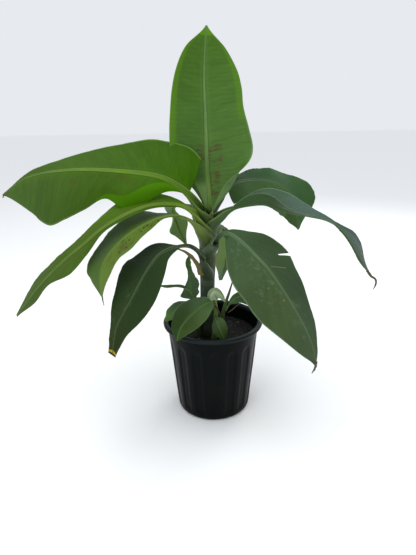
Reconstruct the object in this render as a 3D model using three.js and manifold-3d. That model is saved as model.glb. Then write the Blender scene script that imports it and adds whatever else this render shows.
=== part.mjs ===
// A banana plant in a nursery pot: one pseudostem, ten large leaves and three small suckers.
// Millimetres, +Z up. The origin is the middle of the pot's flat underside.
import * as THREE from "three";
import { mergeVertices } from "three/addons/utils/BufferGeometryUtils.js";
import Module from "manifold-3d";

const wasm = await Module();
wasm.setup();

// Driving sizes
const clearance = 0.35;
const pot = {
  height: 275,
  rimRadius: 142,
  footRadius: 107,
  wall: 2.2,
  floor: 2.5,
  lipDepth: 10,
  lipReach: 12,
  footRound: 12,
  sides: 40,
};
const drain = { count: 6, radius: 7, ring: 78, sides: 12 };
const soilTop = 232;
const footDepth = 8;
const blade = { margin: 2.4, stations: 12, smallStations: 8, foldAt: 0.5 };
const limb = { sides: 8, stepsPerLeaf: 8 };

const stem = {
  spine: [[-8, 0, soilTop - footDepth], [-10, 0, 270], [-14, 0, 360], [-11, 0, 470], [-9, 0, 545], [-8, 3, 580]],
  radii: [29, 24, 20.5, 22, 24, 13],
  sides: 16,
  steps: 14,
};

// Each leaf follows its spine from the foot of its stalk to its tip. face is the way its upper side
// looks. left and right are half widths at even steps from the start of the blade to the tip, and
// each half leaves the midrib at a lift, in degrees, and bends by a fold halfway out.
const leaves = [
  {
    name: "leaf_top",
    spine: [[-8, -2, 560], [-6, 4, 600], [-10, 20, 695], [-12, 46, 815], [-14, 68, 930], [-6, 80, 1032]],
    face: [0, -1, 0.15],
    stalk: [10, 6],
    bladeFrom: 0.12,
    split: 0.5,
    left: [12, 34, 72, 92, 94, 90, 83, 70, 47, 2],
    right: [20, 84, 118, 122, 112, 99, 95, 82, 52, 2],
    leftLift: [0, 5, 10, 10, 5],
    rightLift: [30, 20, 15, 10, 5],
    leftFold: [0, 0],
    rightFold: [60, 10, 0, 0, 0],
  },
  {
    name: "leaf_left_high",
    spine: [
      [-10, -12, 540], [-25, -20, 585], [-60, -35, 640], [-115, -50, 680], [-220, -60, 700],
      [-350, -70, 705], [-440, -80, 690], [-505, -80, 650],
    ],
    face: [0, -0.8, 1],
    stalk: [12, 10],
    bladeFrom: 0.19,
    split: 0.5,
    left: [6, 32, 68, 72, 62, 100, 121, 132, 88, 2],
    right: [80, 94, 104, 96, 85, 63, 41, 24, 9, 2],
    leftLift: [0, -10, -20, -20, -10],
    rightLift: [45, 5, 0, 0, 0, 0, 0],
    leftFold: [-60, -60, -20, 0, 0],
    rightFold: [0, 0],
  },
  {
    name: "leaf_left_long",
    spine: [
      [-14, -16, 510], [-30, -35, 575], [-70, -50, 610], [-115, -70, 621], [-157, -90, 620],
      [-210, -112, 603], [-262, -132, 575], [-306, -145, 541], [-357, -152, 502], [-424, -158, 438],
      [-485, -160, 365],
    ],
    face: [-0.1, -0.6, 1],
    stalk: [11, 7],
    bladeFrom: 0.16,
    split: 0.45,
    left: [5, 10, 12, 12, 12, 26, 36, 17, 18, 2],
    right: [6, 42, 64, 60, 40, 37, 30, 38, 32, 7],
    leftLift: [-30, -30, -30],
    rightLift: [0, -10, -10],
    leftFold: [0, 0],
    rightFold: [0, 0],
  },
  {
    name: "leaf_left_mid",
    spine: [
      [-14, -22, 485], [-35, -45, 555], [-75, -70, 590], [-115, -95, 595], [-165, -120, 580],
      [-215, -145, 550], [-255, -165, 505], [-266, -180, 460], [-265, -182, 422],
    ],
    face: [-0.3, -0.3, 1],
    stalk: [10, 6],
    bladeFrom: 0.24,
    split: 0.5,
    left: [5, 10, 8, 20, 30, 38, 34, 31, 20, 3],
    right: [5, 46, 80, 98, 93, 94, 82, 66, 43, 2],
    leftLift: [-40, -30, -10],
    rightLift: [-12, -5, -5, 0],
    leftFold: [0, 0],
    rightFold: [0, 0],
  },
  {
    name: "leaf_left_low",
    spine: [
      [-15, -20, 395], [-27, -60, 480], [-55, -90, 517], [-85, -115, 524], [-125, -140, 514],
      [-155, -165, 482], [-195, -190, 415], [-230, -208, 355], [-246, -216, 284],
    ],
    face: [-0.8, -0.9, 0.6],
    stalk: [9, 5],
    bladeFrom: 0.35,
    split: 0.5,
    left: [5, 20, 38, 54, 62, 62, 54, 43, 29, 13],
    right: [6, 62, 100, 110, 102, 82, 56, 28, 18, 16],
    leftLift: [-10, -5, 0],
    rightLift: [-25, -10, 0],
    leftFold: [0, 0],
    rightFold: [0, 0],
  },
  {
    name: "leaf_right_back",
    spine: [
      [-2, 14, 555], [30, 30, 625], [65, 60, 650], [120, 110, 652], [190, 155, 636], [248, 190, 590],
      [279, 215, 480],
    ],
    face: [0.2, -0.7, 1],
    stalk: [10, 6],
    bladeFrom: 0.2,
    split: 0.5,
    left: [5, 16, 34, 50, 57, 74, 90, 126, 100, 12],
    right: [40, 74, 80, 84, 106, 108, 96, 66, 38, 3],
    leftLift: [0, 0, -10],
    rightLift: [-20, -20, -15, -5, 10],
    leftFold: [0, 0],
    rightFold: [0, 0],
  },
  {
    name: "leaf_right_arch",
    spine: [
      [-4, -12, 520], [10, -18, 560], [27, -22, 582], [54, -32, 601], [90, -42, 611], [133, -55, 615],
      [159, -62, 606], [202, -76, 595], [239, -85, 589], [279, -93, 580], [305, -99, 566],
      [330, -105, 540], [351, -109, 509], [371, -112, 476], [392, -114, 445],
    ],
    face: [0.3, -0.3, 1],
    stalk: [12, 8],
    bladeFrom: 0.18,
    split: 0.5,
    left: [5, 26, 47, 52, 36, 15, 12, 44, 50, 8],
    right: [5, 32, 48, 44, 18, 8, 8, 8, 8, 2],
    leftLift: [50, 30, 0],
    rightLift: [60, 55, 20, -30, -30],
    leftFold: [0, 0],
    rightFold: [0, 0],
  },
  {
    name: "leaf_right_low",
    spine: [
      [-4, -22, 470], [10, -45, 520], [22, -57, 536], [44, -80, 545], [72, -105, 530], [102, -128, 504],
      [131, -150, 476], [177, -180, 412], [221, -202, 336], [240, -208, 290], [250, -210, 240],
    ],
    face: [0.6, -1, 0.5],
    stalk: [10, 6],
    bladeFrom: 0.17,
    split: 0.5,
    left: [5, 33, 69, 78, 70, 62, 46, 33, 13, 2],
    right: [6, 40, 76, 96, 98, 97, 81, 61, 37, 2],
    leftLift: [0, 0, 0],
    rightLift: [-20, -5, 0],
    leftFold: [0, 0],
    rightFold: [0, 0],
  },
  {
    name: "leaf_back_left",
    spine: [
      [-14, 14, 510], [-34, 28, 555], [-50, 50, 584], [-75, 85, 588], [-99, 125, 582], [-114, 160, 557],
      [-108, 182, 520], [-77, 195, 436],
    ],
    face: [-0.3, 0.9, 0.2],
    stalk: [9, 5],
    bladeFrom: 0.42,
    left: [4, 46, 34, 22, 6, 10, 32, 20, 9, 2],
    right: [4, 4, 4, 6, 16, 34, 32, 18, 8, 2],
    leftLift: [-10, -10],
    rightLift: [-10, -10],
    leftFold: [0, 0],
    rightFold: [0, 0],
  },
  {
    name: "leaf_back_right",
    spine: [[-4, 14, 475], [10, 45, 520], [32, 88, 522], [46, 122, 475], [46, 148, 410], [30, 155, 335]],
    face: [-0.3, 0.9, 0.3],
    stalk: [8, 5],
    bladeFrom: 0.34,
    left: [5, 24, 34, 43, 45, 32, 10],
    right: [4, 16, 22, 24, 18, 10, 3],
    leftLift: [-20, -20],
    rightLift: [-20, -20],
    leftFold: [0, 0],
    rightFold: [0, 0],
  },
];

// Suckers rise from the soil beside the pseudostem, and their small leaves follow the same rules.
const suckerStems = [
  {
    name: "sucker_front_stem",
    spine: [[2, -36, soilTop - footDepth], [8, -38, 290], [8, -44, 334], [6, -48, 352]],
    radii: [9, 7, 6, 4],
  },
  {
    name: "sucker_left_stem",
    spine: [[-42, -14, soilTop - footDepth], [-42, -15, 290], [-46, -14, 330], [-50, -10, 352]],
    radii: [10, 8, 7, 4],
  },
  {
    name: "sucker_right_stem",
    spine: [[24, -14, soilTop - footDepth], [28, -14, 290], [36, -12, 326], [46, -6, 354], [56, 4, 384]],
    radii: [9, 7, 5.5, 4, 2],
  },
];

const suckerLeaves = [
  {
    name: "sucker_front_leaf",
    spine: [
      [6, -46, 322], [-2, -60, 352], [-24, -78, 352], [-54, -100, 336], [-84, -122, 308],
      [-96, -136, 276],
    ],
    face: [0, -0.7, 0.7],
    stalk: [4.5, 3],
    bladeFrom: 0.14,
    left: [4, 24, 36, 38, 34, 24, 2],
    right: [4, 24, 40, 52, 42, 24, 2],
    leftLift: [25, 10, 5],
    rightLift: [15, -5, -10],
    leftFold: [-20, 0],
    rightFold: [-30, -10],
  },
  {
    name: "sucker_silver_leaf",
    spine: [[9, -50, 340], [4, -64, 366], [-2, -72, 380], [8, -80, 390], [22, -84, 378], [32, -88, 360]],
    face: [-0.5, -1, 0.6],
    stalk: [3.5, 2.5],
    bladeFrom: 0.14,
    left: [3, 6, 9, 9, 6, 2],
    right: [3, 24, 28, 24, 14, 2],
    leftLift: [-10, -10],
    rightLift: [0, 0],
    leftFold: [-30, -20],
    rightFold: [-20, 0],
  },
  {
    name: "sucker_ovate_leaf",
    spine: [[6, -46, 282], [4, -56, 304], [8, -68, 302], [18, -82, 281], [30, -90, 250]],
    face: [0.1, -1, 0.6],
    stalk: [3, 2],
    bladeFrom: 0.25,
    left: [3, 18, 21, 16, 2],
    right: [3, 17, 20, 15, 2],
    leftLift: [15, 5],
    rightLift: [-15, -10],
    leftFold: [0, 0],
    rightFold: [-20, 0],
  },
  {
    name: "sucker_rim_leaf",
    spine: [[-48, -18, 322], [-68, -26, 338], [-94, -36, 330], [-116, -44, 314], [-132, -48, 292]],
    face: [-0.3, -0.8, 1],
    stalk: [4, 3],
    bladeFrom: 0.22,
    left: [3, 16, 24, 22, 4],
    right: [3, 14, 18, 16, 2],
    leftLift: [-30, -30],
    rightLift: [0, 0],
    leftFold: [-40, -20],
    rightFold: [0, 0],
  },
  {
    name: "sucker_back_leaf",
    spine: [[-50, 0, 318], [-58, 12, 346], [-64, 18, 376], [-65, 22, 414], [-64, 26, 458]],
    face: [-0.2, -1, 0.1],
    stalk: [4, 3],
    bladeFrom: 0.12,
    left: [6, 34, 24, 14, 6, 4, 5, 10, 9, 2],
    right: [6, 24, 24, 28, 26, 20, 10, 8, 7, 2],
    leftLift: [10, 10, 20],
    rightLift: [10, 10, 20],
    leftFold: [0, 10, 20],
    rightFold: [0, 10, 20],
  },
  {
    name: "sucker_strap_leaf",
    spine: [[-50, -14, 344], [-64, -26, 372], [-90, -36, 388], [-122, -40, 390], [-152, -44, 396]],
    face: [0, -0.3, 1],
    stalk: [3, 2],
    bladeFrom: 0.2,
    left: [2, 7, 7, 6, 2],
    right: [2, 7, 7, 6, 2],
    leftLift: [20, 20],
    rightLift: [20, 20],
    leftFold: [0, 0],
    rightFold: [0, 0],
  },
  {
    name: "sucker_right_leaf",
    spine: [[34, -20, 306], [50, -28, 336], [70, -24, 350], [90, -14, 344], [108, -4, 314]],
    face: [0, -0.8, 1],
    stalk: [3.5, 2.5],
    bladeFrom: 0.22,
    left: [3, 12, 16, 12, 2],
    right: [3, 14, 18, 14, 2],
    leftLift: [10, -10],
    rightLift: [-10, -10],
    leftFold: [0, 0],
    rightFold: [-20, 0],
  },
];

const colours = {
  pot: 0x1b2322,
  soil: 0x2a2320,
  stem: 0x46563c,
  stalk: 0x6d8c3a,
  leaf: 0x3f6a35,
};

function paint(colour, roughness) {
  return new THREE.MeshStandardMaterial({ color: colour, roughness, metalness: 0 });
}

const materials = {
  pot: paint(colours.pot, 0.4),
  soil: paint(colours.soil, 0.95),
  stem: paint(colours.stem, 0.55),
  stalk: paint(colours.stalk, 0.5),
  leaf: paint(colours.leaf, 0.45),
};

// Reads a short list of values as a smooth curve over a share of 0 to 1.
function between(values, share) {
  const points = values.map((value, i) => new THREE.Vector2(i, value));
  return new THREE.SplineCurve(points).getPoint(share).y;
}

function route(spine) {
  return new THREE.CatmullRomCurve3(spine.map((p) => new THREE.Vector3(...p)), false, "centripetal");
}

// Joins rings of points, all with the same count, into one closed body with flat ends.
function skin(rings) {
  const sides = rings[0].length;
  const positions = [];
  const faces = [];
  for (const ring of rings) {
    for (const point of ring) positions.push(point.x, point.y, point.z);
  }
  for (let k = 0; k + 1 < rings.length; k += 1) {
    for (let i = 0; i < sides; i += 1) {
      const a = k * sides + i;
      const b = k * sides + ((i + 1) % sides);
      faces.push(a, b + sides, b, a, a + sides, b + sides);
    }
  }
  const last = (rings.length - 1) * sides;
  const half = sides / 2;
  for (let i = 0; i + 1 < half; i += 1) {
    const [a, b, c, d] = [i, i + 1, sides - 2 - i, sides - 1 - i];
    faces.push(a, b, c, a, c, d);
    faces.push(last + a, last + c, last + b, last + a, last + d, last + c);
  }
  const geometry = new THREE.BufferGeometry();
  geometry.setAttribute("position", new THREE.Float32BufferAttribute(positions, 3));
  geometry.setIndex(faces);
  return geometry;
}

function frameAt(curve, share, face) {
  const point = curve.getPointAt(share);
  const along = curve.getTangentAt(share);
  const across = new THREE.Vector3().crossVectors(along, face).normalize();
  const up = new THREE.Vector3().crossVectors(across, along);
  return { point, across, up };
}

// A tapering round limb along part of a curve. radiusAt gives the radius at a share of the part.
function limbRings(curve, face, from, to, steps, sides, radiusAt) {
  const rings = [];
  for (let k = 0; k <= steps; k += 1) {
    const share = k / steps;
    const { point, across, up } = frameAt(curve, from + (to - from) * share, face);
    const radius = radiusAt(share);
    const ring = [];
    for (let i = 0; i < sides; i += 1) {
      const turn = (2 * Math.PI * (i + 0.5)) / sides;
      ring.push(
        point.clone().addScaledVector(across, -radius * Math.cos(turn)).addScaledVector(up, -radius * Math.sin(turn)),
      );
    }
    rings.push(ring);
  }
  return rings;
}

// The top line of one half of a blade, from the midrib out to the margin.
function halfLine(frame, side, width, lift, fold) {
  const line = [frame.point.clone()];
  const steps = [[blade.foldAt, lift], [1 - blade.foldAt, lift + fold]];
  for (const [share, angle] of steps) {
    const turn = THREE.MathUtils.degToRad(angle);
    const next = line[line.length - 1].clone();
    next.addScaledVector(frame.across, side * width * share * Math.cos(turn));
    next.addScaledVector(frame.up, width * share * Math.sin(turn));
    line.push(next);
  }
  return line;
}

function bladeRings(leaf, curve, face, from, to) {
  const rings = [];
  const count = leaf.split ? Math.round(blade.stations * (to - from)) : blade.smallStations;
  for (let k = 0; k <= count; k += 1) {
    const share = from + ((to - from) * k) / count;
    const frame = frameAt(curve, leaf.bladeFrom + (1 - leaf.bladeFrom) * share, face);
    const left = halfLine(
      frame, -1, between(leaf.left, share), between(leaf.leftLift, share), between(leaf.leftFold, share),
    );
    const right = halfLine(
      frame, 1, between(leaf.right, share), between(leaf.rightLift, share), between(leaf.rightFold, share),
    );
    const top = [left[2], left[1], left[0], right[1], right[2]];
    const rib = blade.margin + leaf.stalk[1] * (1 - share);
    const depths = [blade.margin, blade.margin, rib, blade.margin, blade.margin];
    const bottom = top.map((point, i) => point.clone().addScaledVector(frame.up, -depths[i]));
    rings.push([...bottom, ...top.reverse()]);
  }
  return rings;
}

function toManifold(geometry) {
  const bare = geometry.clone();
  bare.deleteAttribute("normal");
  bare.deleteAttribute("uv");
  const merged = mergeVertices(bare, 1e-4);
  const vertProperties = new Float32Array(merged.attributes.position.array);
  const triVerts = new Uint32Array(merged.index.array);
  return new wasm.Manifold(new wasm.Mesh({ numProp: 3, vertProperties, triVerts }));
}

function fromManifold(body) {
  const mesh = body.getMesh();
  const geometry = new THREE.BufferGeometry();
  geometry.setAttribute("position", new THREE.Float32BufferAttribute(mesh.vertProperties, 3));
  geometry.setIndex(Array.from(mesh.triVerts));
  return geometry;
}

// Cuts a body back from its neighbours and keeps its largest piece.
function cutBack(geometry, neighbours) {
  let body = toManifold(geometry);
  for (const neighbour of neighbours) body = body.subtract(neighbour);
  const pieces = body.decompose();
  pieces.sort((a, b) => b.volume() - a.volume());
  return fromManifold(pieces[0]);
}

const plant = new THREE.Group();

function addMesh(name, geometry, material) {
  geometry.computeVertexNormals();
  const mesh = new THREE.Mesh(geometry, material);
  mesh.name = name;
  plant.add(mesh);
}

function potGeometry() {
  const { height, rimRadius, footRadius, wall, floor, lipDepth, lipReach, footRound } = pot;
  const neck = rimRadius - lipReach;
  const outline = [new THREE.Vector2(0, 0), new THREE.Vector2(footRadius - footRound, 0)];
  for (let i = 1; i <= 4; i += 1) {
    const turn = (Math.PI / 2) * (i / 4);
    outline.push(new THREE.Vector2(
      footRadius - footRound * (1 - Math.sin(turn)),
      footRound * (1 - Math.cos(turn)),
    ));
  }
  outline.push(new THREE.Vector2(neck, height - lipDepth));
  outline.push(new THREE.Vector2(rimRadius, height - lipDepth + 2));
  outline.push(new THREE.Vector2(rimRadius, height - 2.5));
  outline.push(new THREE.Vector2(rimRadius - 2, height));
  outline.push(new THREE.Vector2(neck - wall + 1, height));
  outline.push(new THREE.Vector2(neck - wall, height - 3));
  outline.push(new THREE.Vector2(footRadius - wall, footRound + 2));
  outline.push(new THREE.Vector2(footRadius - footRound - 1, floor));
  outline.push(new THREE.Vector2(0, floor));
  const shell = new THREE.LatheGeometry(outline, pot.sides);
  shell.rotateX(Math.PI / 2);
  let body = toManifold(shell);
  for (let i = 0; i < drain.count; i += 1) {
    const hole = new THREE.CylinderGeometry(drain.radius, drain.radius, 4 * floor, drain.sides);
    const turn = (2 * Math.PI * (i + 0.5)) / drain.count;
    hole.rotateX(Math.PI / 2);
    hole.translate(drain.ring * Math.cos(turn), drain.ring * Math.sin(turn), floor / 2);
    body = body.subtract(toManifold(hole));
  }
  return fromManifold(body);
}

function soilGeometry() {
  const { height, rimRadius, footRadius, wall, floor, lipDepth, lipReach, footRound } = pot;
  const neck = rimRadius - lipReach - wall - clearance;
  const foot = footRadius - wall - clearance;
  const rise = (soilTop - footRound - 2) / (height - 3 - footRound - 2);
  const outline = [
    new THREE.Vector2(0, floor + clearance),
    new THREE.Vector2(footRadius - footRound - 2, floor + clearance),
    new THREE.Vector2(foot, footRound + 3),
    new THREE.Vector2(foot + (neck - foot) * rise - 0.3, soilTop),
    new THREE.Vector2(0, soilTop),
  ];
  const body = new THREE.LatheGeometry(outline, pot.sides);
  body.rotateX(Math.PI / 2);
  return fromManifold(toManifold(body));
}

const upright = new THREE.Vector3(0, -1, 0);

function stemGeometry(shoot, steps, sides, extra) {
  const curve = route(shoot.spine);
  const radiusAt = (share) => between(shoot.radii, share) + extra;
  return skin(limbRings(curve, upright, 0, 1, steps, sides, radiusAt));
}

// The ground is level, so every shoot is cut flat just above it.
function groundBlock() {
  const block = new THREE.BoxGeometry(4 * pot.rimRadius, 4 * pot.rimRadius, soilTop);
  block.translate(0, 0, soilTop / 2 + clearance);
  return toManifold(block);
}

function growShoot(name, shoot, steps, sides, neighbours) {
  const body = cutBack(stemGeometry(shoot, steps, sides, 0), neighbours);
  addMesh(name, body, materials.stem);
  neighbours.push(toManifold(stemGeometry(shoot, steps, sides, clearance)));
}

function stalkGeometry(leaf, curve, face, extra) {
  const end = leaf.bladeFrom - 0.4 / curve.getLength() + extra / curve.getLength();
  const radiusAt = (share) => THREE.MathUtils.lerp(leaf.stalk[0], leaf.stalk[1], share) + extra;
  return skin(limbRings(curve, face, 0, end, limb.stepsPerLeaf, limb.sides, radiusAt));
}

function growLeaf(leaf, neighbours) {
  const curve = route(leaf.spine);
  const face = new THREE.Vector3(...leaf.face);
  const stalk = cutBack(stalkGeometry(leaf, curve, face, 0), neighbours);
  addMesh(`${leaf.name}_stalk`, stalk, materials.stalk);
  neighbours.push(toManifold(stalkGeometry(leaf, curve, face, clearance)));
  const half = 0.2 / (curve.getLength() * (1 - leaf.bladeFrom));
  const parts = leaf.split
    ? [["inner", 0, leaf.split - half], ["outer", leaf.split + half, 1]]
    : [["blade", 0, 1]];
  for (const [part, from, to] of parts) {
    const geometry = skin(bladeRings(leaf, curve, face, from, to));
    addMesh(`${leaf.name}_${part}`, geometry, materials.leaf);
  }
}

addMesh("pot", potGeometry(), materials.pot);
addMesh("soil", soilGeometry(), materials.soil);
const grown = [groundBlock()];
growShoot("stem", stem, stem.steps, stem.sides, grown);
for (const shoot of suckerStems) growShoot(shoot.name, shoot, limb.stepsPerLeaf, limb.sides, grown);
for (const leaf of [...leaves, ...suckerLeaves]) growLeaf(leaf, grown);

export default plant;
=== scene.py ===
import bmesh
import bpy
import math
import random
from bisect import bisect_right
from mathutils import Matrix, Vector, noise


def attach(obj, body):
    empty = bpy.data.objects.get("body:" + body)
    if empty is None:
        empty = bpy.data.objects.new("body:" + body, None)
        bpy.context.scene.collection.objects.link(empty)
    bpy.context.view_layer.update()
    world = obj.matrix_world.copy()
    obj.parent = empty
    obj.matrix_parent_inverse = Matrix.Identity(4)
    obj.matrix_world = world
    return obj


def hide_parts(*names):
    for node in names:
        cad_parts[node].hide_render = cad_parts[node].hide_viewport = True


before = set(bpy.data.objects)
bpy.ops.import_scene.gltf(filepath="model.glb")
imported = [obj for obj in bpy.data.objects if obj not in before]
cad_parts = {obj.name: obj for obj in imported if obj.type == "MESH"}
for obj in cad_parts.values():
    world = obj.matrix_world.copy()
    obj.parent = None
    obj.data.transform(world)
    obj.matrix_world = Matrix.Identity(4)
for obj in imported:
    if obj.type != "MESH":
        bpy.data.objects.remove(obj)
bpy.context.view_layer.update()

mm = 0.001
up = Vector((0, 0, 1))
print("frame loaded:", len(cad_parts), "nodes")

def addObject(name, data):
    made = bpy.data.objects.new(name, data)
    bpy.context.collection.objects.link(made)
    return made


def meshFrom(name, bm):
    mesh = bpy.data.meshes.new(name)
    bm.to_mesh(mesh)
    bm.free()
    return mesh


# camera, light and floor
def makeCamera():
    shot = {"lens": 28, "sensor": 36, "place": (-12, -1130, 812), "pitch": 20, "roll": -0.9}
    camera = addObject("camera", bpy.data.cameras.new("camera"))
    camera.data.lens = shot["lens"]
    camera.data.sensor_width = shot["sensor"]
    turn = Matrix.Rotation(math.radians(90 - shot["pitch"]), 4, "X")
    roll = Matrix.Rotation(math.radians(shot["roll"]), 4, "Z")
    camera.matrix_world = Matrix.Translation(Vector(shot["place"]) * mm) @ turn @ roll
    bpy.context.scene.camera = camera


def makeLights():
    lamps = [
        {"name": "skyPanel", "place": (-0.5, -0.6, 3.0), "size": 2.6, "watts": 34,
         "tint": (0.95, 0.98, 1.0)},
        {"name": "frontPanel", "place": (-1.8, -2.6, 1.5), "size": 1.8, "watts": 13,
         "tint": (1.0, 0.98, 0.95)},
        {"name": "backPanel", "place": (1.4, 2.2, 2.2), "size": 1.8, "watts": 22,
         "tint": (1.0, 1.0, 0.96)},
    ]
    target = Vector((0, 0, 0.5))
    for lamp in lamps:
        data = bpy.data.lights.new(lamp["name"], "AREA")
        data.shape = "DISK"
        data.size = lamp["size"]
        data.energy = lamp["watts"]
        data.color = lamp["tint"]
        panel = addObject(lamp["name"], data)
        place = Vector(lamp["place"])
        aim = (place - target).to_track_quat("Z", "Y").to_matrix().to_4x4()
        panel.matrix_world = Matrix.Translation(place) @ aim
    world = bpy.data.worlds.new("studio")
    world.use_nodes = True
    world.node_tree.nodes["Background"].inputs["Color"].default_value = (0.93, 0.96, 1.0, 1)
    world.node_tree.nodes["Background"].inputs["Strength"].default_value = 0.86
    bpy.context.scene.world = world
    bpy.context.scene.view_settings.view_transform = "Standard"


def makeFloor():
    bm = bmesh.new()
    bmesh.ops.create_grid(bm, x_segments=1, y_segments=1, size=30)
    floor = addObject("floor", meshFrom("floor", bm))
    floor.data.materials.append(plainMaterial("paleFloor", "#f8f8f8", 0.9, 0.0))


# small helpers
def tint(code, alpha=1.0):
    channels = [int(code[i:i + 2], 16) / 255 for i in (1, 3, 5)]
    return [c / 12.92 if c <= 0.04045 else ((c + 0.055) / 1.055) ** 2.4 for c in channels] + [alpha]


def between(values, share):
    # reads a short list as a smooth curve over a share of 0 to 1
    last = len(values) - 1
    place = min(max(share, 0.0), 1.0) * last
    i = min(int(place), last)
    t = place - i
    p0, p1 = values[max(i - 1, 0)], values[i]
    p2, p3 = values[min(i + 1, last)], values[min(i + 2, last)]
    v0, v1 = (p2 - p0) / 2, (p3 - p1) / 2
    return (2 * p1 - 2 * p2 + v0 + v1) * t ** 3 + (3 * p2 - 3 * p1 - 2 * v0 - v1) * t ** 2 + v0 * t + p1


def ease(t):
    t = min(max(t, 0.0), 1.0)
    return t * t * (3 - 2 * t)


class Route:
    # a smooth curve through a few points in millimetres, read by share of its length in metres
    def __init__(self, spine, fine=24):
        points = [Vector(p) * mm for p in spine]
        points = [2 * points[0] - points[1], *points, 2 * points[-1] - points[-2]]
        self.points = []
        for p0, p1, p2, p3 in zip(points, points[1:], points[2:], points[3:]):
            gaps = [max((b - a).length ** 0.5, 1e-6) for a, b in ((p0, p1), (p1, p2), (p2, p3))]
            m1 = (p1 - p0) / gaps[0] - (p2 - p0) / (gaps[0] + gaps[1]) + (p2 - p1) / gaps[1]
            m2 = (p2 - p1) / gaps[1] - (p3 - p1) / (gaps[1] + gaps[2]) + (p3 - p2) / gaps[2]
            m1, m2 = m1 * gaps[1], m2 * gaps[1]
            for k in range(fine):
                t = k / fine
                cubic = (2 * p1 - 2 * p2 + m1 + m2) * t ** 3 + (3 * p2 - 3 * p1 - 2 * m1 - m2) * t ** 2
                self.points.append(cubic + m1 * t + p1)
        self.points.append(points[-2])
        self.marks = [0.0]
        for a, b in zip(self.points, self.points[1:]):
            self.marks.append(self.marks[-1] + (b - a).length)
        self.length = self.marks[-1]

    def at(self, share):
        place = min(max(share, 0.0), 1.0) * self.length
        high = min(bisect_right(self.marks, place), len(self.marks) - 1)
        low = high - 1
        t = (place - self.marks[low]) / max(self.marks[high] - self.marks[low], 1e-9)
        return self.points[low].lerp(self.points[high], t)

    def along(self, share, reach=0.004):
        return (self.at(share + reach) - self.at(share - reach)).normalized()


def finishPiece(name, bm, materials, nodes=(), smooth=True):
    bmesh.ops.remove_doubles(bm, verts=bm.verts, dist=1e-6)
    mesh = meshFrom(name, bm)
    for material in materials:
        mesh.materials.append(material)
    for face in mesh.polygons:
        face.use_smooth = smooth
    piece = addObject(name, mesh)
    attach(piece, "root")
    if nodes:
        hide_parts(*nodes)
    return piece


def gridVerts(bm, columns, rows):
    # a flat grid, handed back with each point's column and row
    made = bmesh.ops.create_grid(bm, x_segments=columns, y_segments=rows, size=0.5)["verts"]
    return [(v, round((v.co.x + 0.5) * columns), round((v.co.y + 0.5) * rows)) for v in made]


def mappedGrid(bm, columns, rows):
    # a grid whose leafMap runs from 0 to 1 along it and across it
    uvLayer = bm.loops.layers.uv.new("leafMap")
    places = gridVerts(bm, columns, rows)
    for face in bm.faces:
        for loop in face.loops:
            loop[uvLayer].uv = (loop.vert.co.x + 0.5, loop.vert.co.y + 0.5)
    return places


def closeSkin(bm):
    bmesh.ops.remove_doubles(bm, verts=bm.verts, dist=1e-6)
    bmesh.ops.holes_fill(bm, edges=[e for e in bm.edges if e.is_boundary])
    bmesh.ops.recalc_face_normals(bm, faces=bm.faces)


def turnOutline(outline, steps):
    # a round body from an outline of radius and height in millimetres
    bm = bmesh.new()
    verts = [bm.verts.new((x * mm, 0, z * mm)) for x, z in outline]
    edges = [bm.edges.new(pair) for pair in zip(verts, verts[1:])]
    bmesh.ops.spin(bm, geom=verts + edges, cent=(0, 0, 0), axis=(0, 0, 1), angle=2 * math.pi, steps=steps,
                   use_merge=True)
    bmesh.ops.remove_doubles(bm, verts=bm.verts, dist=1e-6)
    return bm


# materials
def newMaterial(name):
    material = bpy.data.materials.new(name)
    material.use_nodes = True
    return material, material.node_tree, material.node_tree.nodes["Principled BSDF"]


def fill(tree, socket, value):
    # links a socket, or sets it to a number or to a colour given by its code
    if isinstance(value, bpy.types.NodeSocket):
        tree.links.new(value, socket)
    else:
        socket.default_value = tint(value) if isinstance(value, str) else value


def addNode(tree, kind, inputs=None, **settings):
    made = tree.nodes.new("ShaderNode" + kind)
    for key, value in settings.items():
        setattr(made, key, value)
    for key, value in (inputs or {}).items():
        fill(tree, made.inputs[key], value)
    return made


def remap(tree, value, low, high, start=0.0, end=1.0, **settings):
    ends = {0: value, 1: low, 2: high, 3: start, 4: end}
    return addNode(tree, "MapRange", ends, **settings).outputs[0]


def noiseAt(tree, where, scale, detail=2.0, rough=0.5):
    settings = {"Vector": where, "Scale": scale, "Detail": detail, "Roughness": rough}
    return addNode(tree, "TexNoise", settings).outputs[0]


def objectPlace(tree):
    return addNode(tree, "TexCoord").outputs["Object"]


def leafMap(tree):
    uv = addNode(tree, "UVMap", uv_map="leafMap").outputs[0]
    return uv, *addNode(tree, "SeparateXYZ", {0: uv}).outputs[:2]


def dress(tree, shader, colour, rough, gloss, height, strength, distance):
    # colour, roughness, specular and a bump of the given strength and distance
    bump = addNode(tree, "Bump", {"Height": height, "Strength": strength, "Distance": distance})
    sockets = {"Base Color": colour, "Roughness": rough, "Specular IOR Level": gloss,
               "Normal": bump.outputs[0]}
    for key, value in sockets.items():
        fill(tree, shader.inputs[key], value)


def maths(tree, operation, a, b=0.0, c=0.0):
    return addNode(tree, "Math", {0: a, 1: b, 2: c}, operation=operation).outputs[0]


def times(tree, first, *others):
    for other in others:
        first = maths(tree, "MULTIPLY", first, other)
    return first


def band(tree, value, low, high, soft):
    # 1 between low and high, fading to 0 over soft outside them
    rise = remap(tree, value, low - soft, low, interpolation_type="SMOOTHSTEP")
    fall = remap(tree, value, high, high + soft, 1.0, 0.0, interpolation_type="SMOOTHSTEP")
    return times(tree, rise, fall)


def ramp(tree, value, stops):
    made = addNode(tree, "ValToRGB", {0: value})
    elements = made.color_ramp.elements
    for i, (place, code) in enumerate(stops):
        element = elements[i] if i < 2 else elements.new(place)
        element.position = place
        element.color = tint(code)
    return made.outputs[0]


def mixColour(tree, share, a, b, blend="MIX"):
    inputs = {0: share, 6: a, 7: b}
    return addNode(tree, "Mix", inputs, data_type="RGBA", blend_type=blend).outputs[2]


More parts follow.
